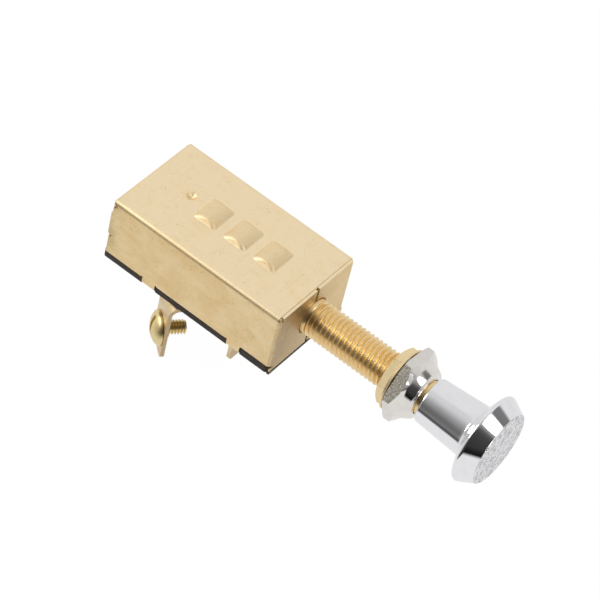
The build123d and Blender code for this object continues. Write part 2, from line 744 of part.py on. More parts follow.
def rivet(spot):
    """A contact rivet: domed head inside the case, tail clenched under the lug's foot."""
    foot = base_bottom - lug_thickness
    head_sphere = (contact_head_radius**2 + contact_head_height**2) / (2 * contact_head_height)
    with BuildPart() as form:
        with BuildSketch(Plane(origin=(spot[0], spot[1], 0), x_dir=(1, 0, 0), z_dir=(0, -1, 0))):
            with BuildLine():
                Polyline((0, wall_foot + contact_head_height), (0, foot - rivet_tail_height),
                         (rivet_tail_radius - 0.3, foot - rivet_tail_height), (rivet_tail_radius, foot - 0.2),
                         (rivet_tail_radius, foot), (rivet_radius, foot), (rivet_radius, wall_foot),
                         (contact_head_radius, wall_foot))
                RadiusArc((contact_head_radius, wall_foot), (0, wall_foot + contact_head_height), -head_sphere)
            make_face()
        revolve(axis=Axis((spot[0], spot[1], 0), (0, 0, 1)))
    return form.part


near_spot = (side_lug_spot[0], -side_lug_spot[1])

with BuildPart() as terminal_lug_1:
    add(lug(near_spot, side_lug_turn, side_lug_bottom, screw_axis))
terminal_lug_1.part.label = "terminal_lug_1"
export_step(terminal_lug_1.part, "parts/terminal_lug_1.step")

with BuildPart() as terminal_lug_2:
    add(lug(front_lug_spot, 0, front_lug_bottom, front_screw_axis))
terminal_lug_2.part.label = "terminal_lug_2"
export_step(terminal_lug_2.part, "parts/terminal_lug_2.step")

with BuildPart() as terminal_lug_3:
    add(lug(side_lug_spot, -side_lug_turn, side_lug_bottom, screw_axis))
terminal_lug_3.part.label = "terminal_lug_3"
export_step(terminal_lug_3.part, "parts/terminal_lug_3.step")

with BuildPart() as terminal_rivet_1:
    add(rivet(rivet_spots[0]))
terminal_rivet_1.part.label = "terminal_rivet_1"
export_step(terminal_rivet_1.part, "parts/terminal_rivet_1.step")

with BuildPart() as terminal_rivet_2:
    add(rivet(rivet_spots[1]))
terminal_rivet_2.part.label = "terminal_rivet_2"
export_step(terminal_rivet_2.part, "parts/terminal_rivet_2.step")

with BuildPart() as terminal_rivet_3:
    add(rivet(rivet_spots[2]))
terminal_rivet_3.part.label = "terminal_rivet_3"
export_step(terminal_rivet_3.part, "parts/terminal_rivet_3.step")

with BuildPart() as terminal_screw_1:
    add(screw(near_spot, side_lug_turn, screw_axis, slot_turns[0]))
terminal_screw_1.part.label = "terminal_screw_1"
export_step(terminal_screw_1.part, "parts/terminal_screw_1.step")

with BuildPart() as terminal_screw_2:
    add(screw(front_lug_spot, 0, front_screw_axis, slot_turns[1]))
terminal_screw_2.part.label = "terminal_screw_2"
export_step(terminal_screw_2.part, "parts/terminal_screw_2.step")

with BuildPart() as terminal_screw_3:
    add(screw(side_lug_spot, -side_lug_turn, screw_axis, slot_turns[2]))
terminal_screw_3.part.label = "terminal_screw_3"
export_step(terminal_screw_3.part, "parts/terminal_screw_3.step")
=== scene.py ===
import math

import bpy
from mathutils import Euler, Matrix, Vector


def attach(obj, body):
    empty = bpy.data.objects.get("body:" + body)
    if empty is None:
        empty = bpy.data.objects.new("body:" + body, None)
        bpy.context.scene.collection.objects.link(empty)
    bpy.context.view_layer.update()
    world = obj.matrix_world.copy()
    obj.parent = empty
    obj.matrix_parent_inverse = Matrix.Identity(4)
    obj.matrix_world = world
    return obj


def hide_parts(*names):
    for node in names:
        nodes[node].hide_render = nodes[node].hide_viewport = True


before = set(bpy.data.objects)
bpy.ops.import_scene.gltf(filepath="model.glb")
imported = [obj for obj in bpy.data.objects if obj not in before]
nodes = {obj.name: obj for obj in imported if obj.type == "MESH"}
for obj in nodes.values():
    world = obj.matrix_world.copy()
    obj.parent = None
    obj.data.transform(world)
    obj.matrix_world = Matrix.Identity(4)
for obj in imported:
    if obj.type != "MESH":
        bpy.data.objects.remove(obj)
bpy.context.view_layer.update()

MM = 0.001

# Threads: pitch, root and crest radius, in millimetres
STEM_PITCH = 1.058
STEM_ROOT = 3.40
STEM_CREST = 3.97
SCREW_PITCH = 0.635
SCREW_ROOT = 1.17
SCREW_CREST = 1.55

# Dress nut: across flats in millimetres, and the turn of its first corner from +Y
NUT_FLATS = 14.2
NUT_CORNER_TURN = 49

# The case's flat top, the edge of the knob's front face, and the floor under the terminals
CASE_TOP = 7.65
KNOB_FACE = 45.97
FLOOR_HEIGHT = -23.72

# The tent round the object: directions of its dark opening, bright panel, dark flag and tilted ground
DARK_WAY = (0.462, -0.873, 0.154)
PANEL_WAY = (0.619, 0.10, 0.779)
FLAG_WAY = (0.51, 0.57, 0.645)
GROUND_WAY = (-0.31, 0, 1)

# Brightness of the tent, from the side across (0) to the middle of the dark opening (1)
TENT_LEVELS = ((0.42, 1.0), (0.52, 0.86), (0.60, 0.84), (0.67, 0.72), (0.74, 0.50),
               (0.80, 0.33), (0.84, 0.13), (0.88, 0.08))

# Both lamps
LAMP_AIM = (10, 0, 0)
LAMP_SIZE = (240, 240)


# Materials

def start_material(name):
    """A new material with an empty shader, and the object's own coordinates in millimetres."""
    material = bpy.data.materials.new(name)
    material.use_nodes = True
    tree = material.node_tree
    shader = tree.nodes["Principled BSDF"]
    place = tree.nodes.new("ShaderNodeTexCoord")
    scale = tree.nodes.new("ShaderNodeMapping")
    scale.inputs["Scale"].default_value = (1000, 1000, 1000)
    tree.links.new(place.outputs["Object"], scale.inputs["Vector"])
    return material, tree, shader, scale.outputs["Vector"]


def stretch(tree, vector, size, turn=(0, 0, 0)):
    """The coordinates divided by a grain size in millimetres along each axis."""
    mapping = tree.nodes.new("ShaderNodeMapping")
    mapping.inputs["Scale"].default_value = tuple(1 / s for s in size)
    mapping.inputs["Rotation"].default_value = turn
    tree.links.new(vector, mapping.inputs["Vector"])
    return mapping.outputs["Vector"]


def noise(tree, vector, detail=4.0, rough=0.55, warp=0.0):
    """Cloudy noise, from about 0.3 to 0.7."""
    texture = tree.nodes.new("ShaderNodeTexNoise")
    texture.inputs["Scale"].default_value = 1.0
    texture.inputs["Detail"].default_value = detail
    texture.inputs["Roughness"].default_value = rough
    texture.inputs["Distortion"].default_value = warp
    tree.links.new(vector, texture.inputs["Vector"])
    return texture.outputs["Fac"]


def ramp(tree, value, low, high, start=0.0, end=1.0):
    """Value from low to high mapped to start to end."""
    node = tree.nodes.new("ShaderNodeMapRange")
    node.inputs["From Min"].default_value = low
    node.inputs["From Max"].default_value = high
    node.inputs["To Min"].default_value = start
    node.inputs["To Max"].default_value = end
    tree.links.new(value, node.inputs["Value"])
    return node.outputs["Result"]


def blend_colour(tree, amount, first, second):
    """The first colour at 0, the second at 1; each is a tuple or a socket."""
    node = tree.nodes.new("ShaderNodeMix")
    node.data_type = "RGBA"
    tree.links.new(amount, node.inputs["Factor"])
    for value, socket in ((first, node.inputs[6]), (second, node.inputs[7])):
        if isinstance(value, tuple):
            socket.default_value = (*value, 1)
        else:
            tree.links.new(value, socket)
    return node.outputs[2]


def maths(tree, kind, first, second):
    """One operation on two values, each a number or a socket."""
    node = tree.nodes.new("ShaderNodeMath")
    node.operation = kind
    for value, socket in ((first, node.inputs[0]), (second, node.inputs[1])):
        if isinstance(value, (int, float)):
            socket.default_value = value
        else:
            tree.links.new(value, socket)
    return node.outputs[0]


def along(tree, vector, direction):
    """How far a point lies along a direction, in millimetres."""
    node = tree.nodes.new("ShaderNodeVectorMath")
    node.operation = "DOT_PRODUCT"
    node.inputs[1].default_value = direction
    tree.links.new(vector, node.inputs[0])
    return node.outputs["Value"]


def bumps(tree, shader, height, depth, before=None):
    """Bumps of a depth in millimetres, on top of earlier bumps if there are any."""
    node = tree.nodes.new("ShaderNodeBump")
    node.inputs["Strength"].default_value = 1.0
    node.inputs["Distance"].default_value = depth * MM
    tree.links.new(height, node.inputs["Height"])
    if before is not None:
        tree.links.new(before, node.inputs["Normal"])
    tree.links.new(node.outputs["Normal"], shader.inputs["Normal"])
    return node.outputs["Normal"]


def facing(tree, direction):
    """How much the surface faces a direction, from 0 to 1."""
    surface = tree.nodes.new("ShaderNodeNewGeometry")
    level = along(tree, surface.outputs["Normal"], direction)
    return ramp(tree, level, 0.0, 1.0)


def sheet_metal(name, clean, dull, roughness, grain=(9.0, 0.16, 0.16)):
    """Rolled sheet with grain, tarnish, specks, stains and ticks; a paler top is painted sheen, darker
    front faces and bends are painted shade.
    """
    painted_top_sheen = (1.0, 0.84, 0.57)
    front = (0.42, 0.31, 0.18)
    painted_bend_shade = (0.80, 0.56, 0.24)
    pocket_gold = (0.86, 0.66, 0.38)
    corner_stain = (0.50, 0.44, 0.26)
    stain = (0.34, 0.21, 0.09)
    tick = (1.0, 0.92, 0.74)
    material, tree, shader, place = start_material(name)
    shader.inputs["Metallic"].default_value = 1.0
    clouds = noise(tree, stretch(tree, place, (6.0, 4.0, 4.0)), 5.0, 0.65, 0.4)
    lines = noise(tree, stretch(tree, place, grain), 3.0, 0.6)
    specks = noise(tree, stretch(tree, place, (0.45, 0.40, 0.40)), 2.0, 0.5)
    marks = noise(tree, stretch(tree, place, (1.1, 0.9, 0.9)), 3.0, 0.6, 1.2)
    scores = noise(tree, stretch(tree, place, (0.10, 5.0, 5.0), (0, 0, math.radians(38))), 2.0, 0.5)
    scrapes = noise(tree, stretch(tree, place, (0.14, 3.0, 1.6), (0, math.radians(-12), 0)), 2.0, 0.5)
    colour = blend_colour(tree, ramp(tree, clouds, 0.40, 0.68), clean, dull)
    colour = blend_colour(tree, ramp(tree, lines, 0.58, 0.80, 0.0, 0.25), colour, dull)
    # Painted sheen: faces turned up are painted paler.
    up = facing(tree, (0, 0, 1))
    colour = blend_colour(tree, maths(tree, "MULTIPLY", up, 0.9), colour, painted_top_sheen)
    # Painted shade: faces turned to the front are painted darker, most on the near side.
    side = ramp(tree, along(tree, place, (0, 1, 0)), -9.0, 7.0, 0.82, 0.23)
    shade = maths(tree, "MULTIPLY", facing(tree, (1, 0, 0)), side)
    colour = blend_colour(tree, shade, colour, front)
    # Painted shade: the bends between the top and the sides are painted a darker gold.
    bend = maths(tree, "MULTIPLY", up, maths(tree, "SUBTRACT", 1.0, up))
    colour = blend_colour(tree, maths(tree, "MULTIPLY", bend, 1.3), colour, painted_bend_shade)
    colour = blend_colour(tree, ramp(tree, clouds, 0.50, 0.72, 0.0, 0.30), colour, dull)
    height = along(tree, place, (0, 0, 1))
    raised = ramp(tree, height, CASE_TOP + 0.05, CASE_TOP + 0.65, 0.0, 0.45)
    colour = blend_colour(tree, raised, colour, pocket_gold)
    corner = ramp(tree, along(tree, place, (-0.8, -0.6, 0)), 38.0, 41.2, 0.0, 0.45)
    corner = maths(tree, "MULTIPLY", corner, ramp(tree, clouds, 0.36, 0.56))
    colour = blend_colour(tree, corner, colour, corner_stain)
    spots = ramp(tree, specks, 0.68, 0.78)
    spots = maths(tree, "MULTIPLY", spots, ramp(tree, clouds, 0.38, 0.6, 0.1, 0.8))
    colour = blend_colour(tree, spots, colour, stain)
    colour = blend_colour(tree, ramp(tree, marks, 0.60, 0.72, 0.0, 0.20), colour, stain)
    colour = blend_colour(tree, ramp(tree, scores, 0.62, 0.74, 0.0, 0.14), colour, stain)
    worn = ramp(tree, along(tree, place, (1, 0, 0)), -16.0, -4.0)
    worn = maths(tree, "MULTIPLY", facing(tree, (0, -1, 0)), worn)
    ticks = maths(tree, "MULTIPLY", worn, ramp(tree, scrapes, 0.57, 0.66, 0.0, 0.9))
    colour = blend_colour(tree, ticks, colour, tick)
    tree.links.new(colour, shader.inputs["Base Color"])
    rough = maths(tree, "ADD", ramp(tree, lines, 0.3, 0.7, roughness - 0.03, roughness + 0.04),
                  ramp(tree, clouds, 0.4, 0.7, 0.0, 0.06))
    tree.links.new(rough, shader.inputs["Roughness"])
    dents = noise(tree, stretch(tree, place, (14.0, 8.0, 8.0)), 2.0, 0.5)
    first = bumps(tree, shader, lines, 0.0012)
    bumps(tree, shader, dents, 0.04, first)
    return material


def turned_metal(name, clean, dull, roughness, ring=0.12, mark=0.0015):
    """Lathe-turned metal: fine rings across the axis and light wear."""
    material, tree, shader, place = start_material(name)
    shader.inputs["Metallic"].default_value = 1.0
    rings = noise(tree, stretch(tree, place, (ring, 6.0, 6.0)), 3.0, 0.6)
    clouds = noise(tree, stretch(tree, place, (2.2, 2.2, 2.2)), 4.0, 0.6)
    colour = blend_colour(tree, ramp(tree, clouds, 0.45, 0.75), clean, dull)
    tree.links.new(colour, shader.inputs["Base Color"])
    rough = ramp(tree, rings, 0.3, 0.7, roughness - 0.04, roughness + 0.08)
    tree.links.new(rough, shader.inputs["Roughness"])
    bumps(tree, shader, rings, mark)
    return material


def phenolic(name, dark, light, roughness):
    """Paper laminate: a dull face, with layers and torn fibres on the cut edge."""
    material, tree, shader, place = start_material(name)
    layers = noise(tree, stretch(tree, place, (2.5, 2.5, 0.12)), 3.0, 0.65)
    fibre = noise(tree, stretch(tree, place, (0.35, 0.35, 0.25)), 4.0, 0.7)
    colour = blend_colour(tree, ramp(tree, layers, 0.42, 0.72), dark, light)
    colour = blend_colour(tree, ramp(tree, fibre, 0.62, 0.78, 0.0, 0.6), colour, (0.24, 0.19, 0.14))
    tree.links.new(colour, shader.inputs["Base Color"])
    rough = ramp(tree, fibre, 0.3, 0.7, roughness - 0.08, roughness + 0.1)
    tree.links.new(rough, shader.inputs["Roughness"])
    shader.inputs["Specular IOR Level"].default_value = 0.4
    first = bumps(tree, shader, layers, 0.03)
    bumps(tree, shader, fibre, 0.03, first)
    return material


def chrome_knob(name):
    """Bright chrome, with a pebbled face on the front of the knob and painted shade in its pits."""
    material, tree, shader, place = start_material(name)
    shader.inputs["Metallic"].default_value = 1.0
    front = ramp(tree, along(tree, place, (1, 0, 0)), KNOB_FACE, KNOB_FACE + 0.05)
    pebble = noise(tree, stretch(tree, place, (1.2, 0.95, 0.95)), 1.5, 0.5)
    haze = noise(tree, stretch(tree, place, (1.5, 1.5, 1.5)), 4.0, 0.6)
    colour = blend_colour(tree, ramp(tree, haze, 0.45, 0.8), (0.91, 0.91, 0.93), (0.85, 0.85, 0.87))
    # Painted shade: the pits between the pebbles on the front face are painted darker.
    painted_pit_shade = ramp(tree, pebble, 0.36, 0.46, 0.7, 0.0)
    colour = blend_colour(tree, maths(tree, "MULTIPLY", front, painted_pit_shade), colour, (0.45, 0.45, 0.48))
    tree.links.new(colour, shader.inputs["Base Color"])
    rough = ramp(tree, haze, 0.3, 0.8, 0.03, 0.09)
    rough = maths(tree, "ADD", rough, maths(tree, "MULTIPLY", front, 0.10))
    tree.links.new(rough, shader.inputs["Roughness"])
    bumps(tree, shader, maths(tree, "MULTIPLY", front, pebble), 1.3)
    return material


def nickel_nut(name, facet_turn):
    """Bright nickel, with one flat of the hexagon left rough and painted shade on faces turned away
    from the front.
    """
    material, tree, shader, place = start_material(name)
    shader.inputs["Metallic"].default_value = 1.0
    turn = math.radians(facet_turn)
    reach = along(tree, place, (0, math.cos(turn), math.sin(turn)))
    flat = ramp(tree, reach, NUT_FLATS / 2 - 0.08, NUT_FLATS / 2 - 0.03)
    grit = noise(tree, stretch(tree, place, (0.36, 0.36, 0.36)), 3.0, 0.7)
    haze = noise(tree, stretch(tree, place, (1.6, 1.6, 1.6)), 4.0, 0.6)
    colour = blend_colour(tree, ramp(tree, haze, 0.45, 0.8), (0.86, 0.83, 0.795), (0.76, 0.73, 0.69))
    # Painted shade: faces turned away from the front are painted darker.
    painted_side_shade = ramp(tree, facing(tree, (1, 0, 0)), 0.10, 0.50, 0.35, 0.0)
    colour = blend_colour(tree, painted_side_shade, colour, (0.66, 0.62, 0.57))
    grime = maths(tree, "MULTIPLY", flat, ramp(tree, grit, 0.47, 0.62, 1.0, 0.0))
    colour = blend_colour(tree, grime, colour, (0.50, 0.455, 0.37))
    tree.links.new(colour, shader.inputs["Base Color"])
    rough = ramp(tree, haze, 0.3, 0.8, 0.03, 0.10)
    rough = maths(tree, "ADD", rough, maths(tree, "MULTIPLY", flat, 0.38))
    tree.links.new(rough, shader.inputs["Roughness"])
    bumps(tree, shader, maths(tree, "MULTIPLY", flat, grit), 0.05)
    return material


case_brass = sheet_metal("case_brass", (1.0, 0.79, 0.46), (0.94, 0.70, 0.36), 0.46)
terminal_brass = sheet_metal("terminal_brass", (0.80, 0.63, 0.38), (0.66, 0.47, 0.24), 0.30,
                             grain=(1.2, 1.2, 0.12))
contact_brass = sheet_metal("contact_brass", (0.76, 0.58, 0.32), (0.58, 0.40, 0.18), 0.32)
stem_brass = turned_metal("stem_brass", (0.94, 0.71, 0.37), (0.87, 0.61, 0.28), 0.30, mark=0.0004)
nut_brass = turned_metal("nut_brass", (0.95, 0.78, 0.47), (0.90, 0.70, 0.39), 0.42, mark=0.0003)
screw_brass = turned_metal("screw_brass", (0.88, 0.72, 0.38), (0.80, 0.60, 0.28), 0.36,
                           ring=0.4, mark=0.0002)
nickel = nickel_nut("nickel", NUT_CORNER_TURN + 90)
chrome = chrome_knob("chrome")
laminate = phenolic("laminate", (0.030, 0.022, 0.017), (0.085, 0.062, 0.046), 0.62)
slider = phenolic("slider", (0.045, 0.030, 0.020), (0.075, 0.052, 0.036), 0.5)
zinc_plate = turned_metal("zinc_plate", (0.40, 0.42, 0.36), (0.26, 0.27, 0.23), 0.42, ring=2.0)
shaft_steel = turned_metal("shaft_steel", (0.60, 0.59, 0.57), (0.42, 0.41, 0.39), 0.26)
spring_steel = turned_metal("spring_steel", (0.55, 0.55, 0.56), (0.36, 0.36, 0.37), 0.3, ring=1.0)

node_materials = {
    "case": case_brass,
    "base_board": laminate,
    "bushing_plate": zinc_plate,
    "threaded_bushing": stem_brass,
    "jam_nut": nut_brass,
    "panel_washer": nut_brass,
    "dress_nut": nickel,
    "terminal_lug_1": terminal_brass,
    "terminal_lug_2": terminal_brass,
    "terminal_lug_3": terminal_brass,
    "terminal_rivet_1": contact_brass,
    "terminal_rivet_2": contact_brass,
    "terminal_rivet_3": contact_brass,
    "terminal_screw_1": screw_brass,
    "terminal_screw_2": screw_brass,
    "terminal_screw_3": screw_brass,
    "plunger_shaft": shaft_steel,
    "knob": chrome,
    "carriage": slider,
    "shaft_clip": spring_steel,
    "detent_leaf": spring_steel,
    "contact_bridge": contact_brass,
    "contact_spring_1": spring_steel,
    "contact_spring_2": spring_steel,
}
for node, material in node_materials.items():
    for slot in nodes[node].material_slots:
        slot.material = material


# Modelling

def select_only(*pieces):
    """Selects these pieces alone; the last one becomes active."""
    bpy.ops.object.select_all(action="DESELECT")
    for piece in pieces:
        piece.select_set(True)
    bpy.context.view_layer.objects.active = pieces[-1]


def turn_on_lathe(name, outline, steps=128, closed=False):
    """A ring at the outline's first (x, radius), drawn out ring by ring along X, in millimetres."""
    bpy.ops.object.select_all(action="DESELECT")
    x, radius = outline[0]
    bpy.ops.mesh.primitive_circle_add(vertices=steps, radius=radius * MM, location=(x * MM, 0, 0),
                                      rotation=(0, math.radians(90), 0))
    piece = bpy.context.object
    piece.name = name
    bpy.ops.object.transform_apply(location=True, rotation=True, scale=True)
    bpy.ops.object.mode_set(mode="EDIT")
    bpy.ops.mesh.select_all(action="SELECT")
    if not closed:
        bpy.ops.mesh.edge_face_add()
        bpy.ops.mesh.select_all(action="SELECT")
        bpy.ops.mesh.region_to_loop()
    for (x0, r0), (x1, r1) in zip(outline, outline[1:]):
        bpy.ops.mesh.extrude_edges_move(TRANSFORM_OT_translate={"value": ((x1 - x0) * MM, 0, 0)})
        bpy.ops.transform.resize(value=(1, r1 / r0, r1 / r0), center_override=(x1 * MM, 0, 0))
    if closed:
        bpy.ops.mesh.select_all(action="SELECT")
        bpy.ops.mesh.remove_doubles(threshold=0.00001)
    else:
        bpy.ops.mesh.edge_face_add()
    bpy.ops.mesh.select_all(action="SELECT")
    bpy.ops.mesh.normals_make_consistent(inside=False)
    bpy.ops.object.mode_set(mode="OBJECT")
    return piece


def cut_thread(name, start, turns, pitch, root, crest, steps=56):
    """A solid thread along X: one tooth's outline wound round the axis, closed at both ends."""
    bpy.ops.object.select_all(action="DESELECT")
    bpy.ops.mesh.primitive_circle_add(vertices=3, radius=0.1 * MM, location=(start * MM, 0, root * MM))
    piece = bpy.context.object
    piece.name = name
    bpy.ops.object.transform_apply(location=True, rotation=True, scale=True)
    bpy.ops.object.mode_set(mode="EDIT")
    bpy.ops.mesh.select_all(action="SELECT")
    bpy.ops.mesh.merge(type="CENTER")
    rise = crest - root
    tooth = ((0.10, 0.0), (0.06, 0.10), (0.20, 0.75), (0.07, 0.15), (0.10, 0.0), (0.07, -0.15),
             (0.20, -0.75), (0.06, -0.10), (0.14, 0.0))
    for across, up in tooth:
        bpy.ops.mesh.extrude_vertices_move(
            TRANSFORM_OT_translate={"value": (across * pitch * MM, 0, up * rise * MM)})
    bpy.ops.object.mode_set(mode="OBJECT")
    winding = piece.modifiers.new("winding", "SCREW")
    winding.axis = "X"
    winding.angle = math.radians(360)
    winding.screw_offset = pitch * MM
    winding.iterations = turns
    winding.steps = steps
    winding.render_steps = steps
    winding.use_merge_vertices = True
    winding.merge_threshold = 0.000001
    select_only(piece)
    bpy.ops.object.modifier_apply(modifier=winding.name)
    bpy.ops.object.mode_set(mode="EDIT")
    bpy.ops.mesh.select_all(action="SELECT")
    bpy.ops.mesh.remove_doubles(threshold=0.000002)
    middle = (start + (turns + 1) * pitch / 2) * MM
    for side in (-1, 1):
        bpy.ops.mesh.select_all(action="DESELECT")
        bpy.ops.mesh.select_mode(type="EDGE")
        bpy.ops.mesh.select_non_manifold()
        bpy.ops.object.mode_set(mode="OBJECT")
        mesh = piece.data
        for edge in mesh.edges:
            a, b = (mesh.vertices[i].co.x for i in edge.vertices)
            edge.select = edge.select and ((a + b) / 2 - middle) * side > 0
        bpy.ops.object.mode_set(mode="EDIT")
        step = side * 0.3 * pitch * MM
        bpy.ops.mesh.extrude_edges_move(TRANSFORM_OT_translate={"value": (step, 0, 0)})
        bpy.ops.mesh.merge(type="CENTER")
    bpy.ops.mesh.select_mode(type="VERT")
    bpy.ops.mesh.select_all(action="SELECT")
    bpy.ops.mesh.normals_make_consistent(inside=False)
    bpy.ops.object.mode_set(mode="OBJECT")
    return piece


def combine(piece, other, operation):
    """Joins, cuts or keeps the common part of two solids, and takes the second away."""
    step = piece.modifiers.new(operation.lower(), "BOOLEAN")
    step.operation = operation
    step.solver = "EXACT"
    step.object = other
    select_only(piece)
    bpy.ops.object.modifier_apply(modifier=step.name)
    bpy.data.objects.remove(other, do_unlink=True)
    return piece


def dress(piece, material, body, angle=35):
    """Shades a finished piece smooth below an angle, gives it its finish and lets it ride on a body."""
    select_only(piece)
    bpy.ops.object.shade_smooth_by_angle(angle=math.radians(angle))
    piece.data.materials.clear()
    piece.data.materials.append(material)
    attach(piece, body)


def arc(centre, radius, start, end, count):
    """Points (x, r) on an arc; angles in degrees from +X towards the radius."""
    points = []
    for i in range(count + 1):
        turn = math.radians(start + (end - start) * i / count)
        points.append((centre[0] + radius * math.cos(turn), centre[1] + radius * math.sin(turn)))
    return points


# Threaded stem
def make_stem():
    """A tube with a swaged foot; the thread is trimmed at both ends, bored out and joined on."""
    body = turn_on_lathe("stem", [
        (-2.84, 2.42), (-2.84, 4.05), (-2.78, 4.2), (-2.6, 4.3), (-2.24, 4.3), (-2.24, 3.3),
        (-0.64, 3.3), (-0.64, STEM_CREST), (0.65, STEM_CREST), (0.85, 3.86), (0.85, 3.44),
        (27.95, 3.44), (28.15, 3.85), (29.0, 3.85), (29.15, 3.75), (29.2, 3.6), (29.2, 2.57),
        (29.05, 2.42), (-2.84, 2.42)], closed=True)
    thread = cut_thread("thread", -0.6, 28, STEM_PITCH, STEM_ROOT, STEM_CREST)
    reach = turn_on_lathe("reach", [(0.65, 4.1), (27.6, 4.1), (28.1, 3.5)], steps=96)
    combine(thread, reach, "INTERSECT")
    bore = turn_on_lathe("bore", [(-4, 2.9), (30, 2.9)], steps=64)
    combine(thread, bore, "DIFFERENCE")
    combine(body, thread, "UNION")
    return body


stem = make_stem()
dress(stem, stem_brass, "housing", 40)
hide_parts("threaded_bushing")


# Knob
def make_knob():
    """A tapered shank that widens into a rounded head with a flat face."""
    rim = arc((42.5, 8.96), 0.75, 155, 62, 10)
    edge = arc((45.82, 7.72), 0.28, 62, 0, 5)
    return turn_on_lathe("pull_knob", [
        (30.45, 2.45), (29.38, 2.45), (29.26, 2.57), (29.26, 4.62), (29.3, 4.8), (29.38, 4.91),
        (29.5, 4.965), (29.7, 4.975), (30.3, 5.0), (39.3, 5.589), (39.75, 5.62), (39.95, 5.65),
        (40.12, 5.74), (40.3, 5.95), (40.48, 6.3), (40.6, 6.6), (40.8, 7.05), *rim, *edge,
        (46.12, 5.0), (46.14, 1.0)], steps=192)


knob = make_knob()
dress(knob, chrome, "plunger", 40)
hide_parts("knob")


# Dress nut: hexagon, chamfer, bright cone and nose
def make_dress_nut():
    """A turned nut with a chamfer and a double cone, cut to its flats by a hexagonal bar."""
    nut = turn_on_lathe("front_nut", [
        (23.1, 3.97), (23.1, 7.55), (23.25, 7.98), (23.4, 8.3), (24.6, 8.3), (25.55, 7.1),
        (26.1, 6.44), (26.3, 6.24), (27.75, 5.45), (27.88, 5.36), (27.98, 5.24), (28.22, 4.92),
        (28.29, 4.82), (28.3, 4.7), (28.3, 4.08), (28.2, 3.97), (23.1, 3.97)], steps=192, closed=True)
    corner = NUT_FLATS / 2 / math.cos(math.radians(30))
    bpy.ops.object.select_all(action="DESELECT")
    bpy.ops.mesh.primitive_cylinder_add(vertices=6, radius=corner * MM, depth=12 * MM,
                                        location=(26 * MM, 0, 0))
    bar = bpy.context.object
    bar.rotation_euler = (0, 0, math.radians(NUT_CORNER_TURN))
    bpy.ops.object.transform_apply(location=False, rotation=True, scale=True)
    bar.rotation_euler = (0, math.radians(90), 0)
    bpy.ops.object.transform_apply(location=True, rotation=True, scale=True)
    combine(nut, bar, "INTERSECT")
    return nut


front_nut = make_dress_nut()
dress(front_nut, nickel, "housing", 25)
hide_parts("dress_nut")


# Bars at the front: the board's edge, the flaps' foot over it, and a brass strip set in the seam above
# as painted light, so that the seam's shadow shows brown, not black
def make_bar(name, near, far, rounding):
    """A bar between two corners, in millimetres, with its edges rounded."""
    middle = [(a + b) / 2 * MM for a, b in zip(near, far)]
    size = [abs(a - b) * MM for a, b in zip(near, far)]
    bpy.ops.object.select_all(action="DESELECT")
    bpy.ops.mesh.primitive_cube_add(size=1, location=middle, scale=size)
    bar = bpy.context.object
    bar.name = name
    bpy.ops.object.transform_apply(location=True, rotation=True, scale=True)
    step = bar.modifiers.new("rounding", "BEVEL")
    step.width = rounding * MM
    step.segments = 3
    bpy.ops.object.modifier_apply(modifier=step.name)
    return bar


board_bars = (
    ("board_lip", (-0.69, -11.6, -8.7), (-0.02, 11.6, -7.74), 0.10),
    ("board_edge", (-0.69, -11.6, -7.8), (-0.22, 11.6, -6.9), 0.04),
)
sheet_bars = (
    ("flap_foot_near", (-0.26, -11.62, -7.76), (-0.012, -0.3, -7.0), 0.04),
    ("flap_foot_far", (-0.26, 0.3, -7.76), (-0.012, 11.62, -7.0), 0.04),
    ("corner_near", (-0.85, -11.42, 6.5), (-0.3, -10.9, 7.3), 0.1),
    ("corner_far", (-0.85, 10.9, 6.5), (-0.3, 11.42, 7.3), 0.1),
    # Painted light: a brass strip filling the seam's gap, so that its shadow shows brown instead of
    # black.
    ("seam_shade_filler", (-0.78, -11.2, 7.0), (-0.58, 11.2, 7.5), 0.03),
)
for bar in board_bars:
    dress(make_bar(*bar), laminate, "housing")
for bar in sheet_bars:
    dress(make_bar(*bar), case_brass, "housing")


# Terminal screws
def make_screw():
    """A domed screw along X with its head at the low end, threaded and slotted."""
    head = turn_on_lathe("screw", [
        (-1.9, 0.3), (-1.87, 0.9), (-1.78, 1.5), (-1.6, 2.1), (-1.33, 2.7), (-0.95, 3.25),
        (-0.62, 3.58), (-0.35, 3.73), (-0.2, 3.75), (-0.08, 3.72), (0, 3.6), (0, 1.2), (5.15, 1.2),
        (5.3, 1.05)], steps=96)
    thread = cut_thread("screw_thread", -0.6, 11, SCREW_PITCH, SCREW_ROOT, SCREW_CREST, steps=36)
    reach = turn_on_lathe("screw_reach", [(0.3, 1.7), (4.95, 1.7), (5.3, 1.25)], steps=48)
    combine(thread, reach, "INTERSECT")
    combine(head, thread, "UNION")
    bpy.ops.object.select_all(action="DESELECT")
    bpy.ops.mesh.primitive_cube_add(size=1, location=(-1.9 * MM, 0, 0),
                                    scale=(1.7 * MM, 0.95 * MM, 9 * MM))
    slot = bpy.context.object
    bpy.ops.object.transform_apply(location=True, rotation=True, scale=True)
    combine(head, slot, "DIFFERENCE")
    return head


def place_screw(pattern, number, spot, turn, slot_turn):
    """A copy of the screw, its slot turned, set at its place on a terminal."""
    screw = pattern.copy()
    screw.data = pattern.data.copy()
    bpy.context.collection.objects.link(screw)
    screw.name = "screw_" + str(number)
    screw.rotation_mode = "ZYX"
    screw.rotation_euler = Euler((math.radians(slot_turn), 0, math.radians(turn)), "XYZ")
    screw.rotation_mode = "XYZ"
    screw.location = Vector(spot) * MM
    select_only(screw)
    bpy.ops.object.transform_apply(location=True, rotation=True, scale=True)
    dress(screw, screw_brass, "housing", 40)
    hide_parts("terminal_screw_" + str(number))


screw_pattern = make_screw()
place_screw(screw_pattern, 1, (-27.1, -10.55, -18.55), 50, -9)
place_screw(screw_pattern, 2, (-14.5, 0, -17.7), 0, -50)
place_screw(screw_pattern, 3, (-27.1, 10.55, -18.55), -50, 75)
bpy.data.objects.remove(screw_pattern, do_unlink=True)


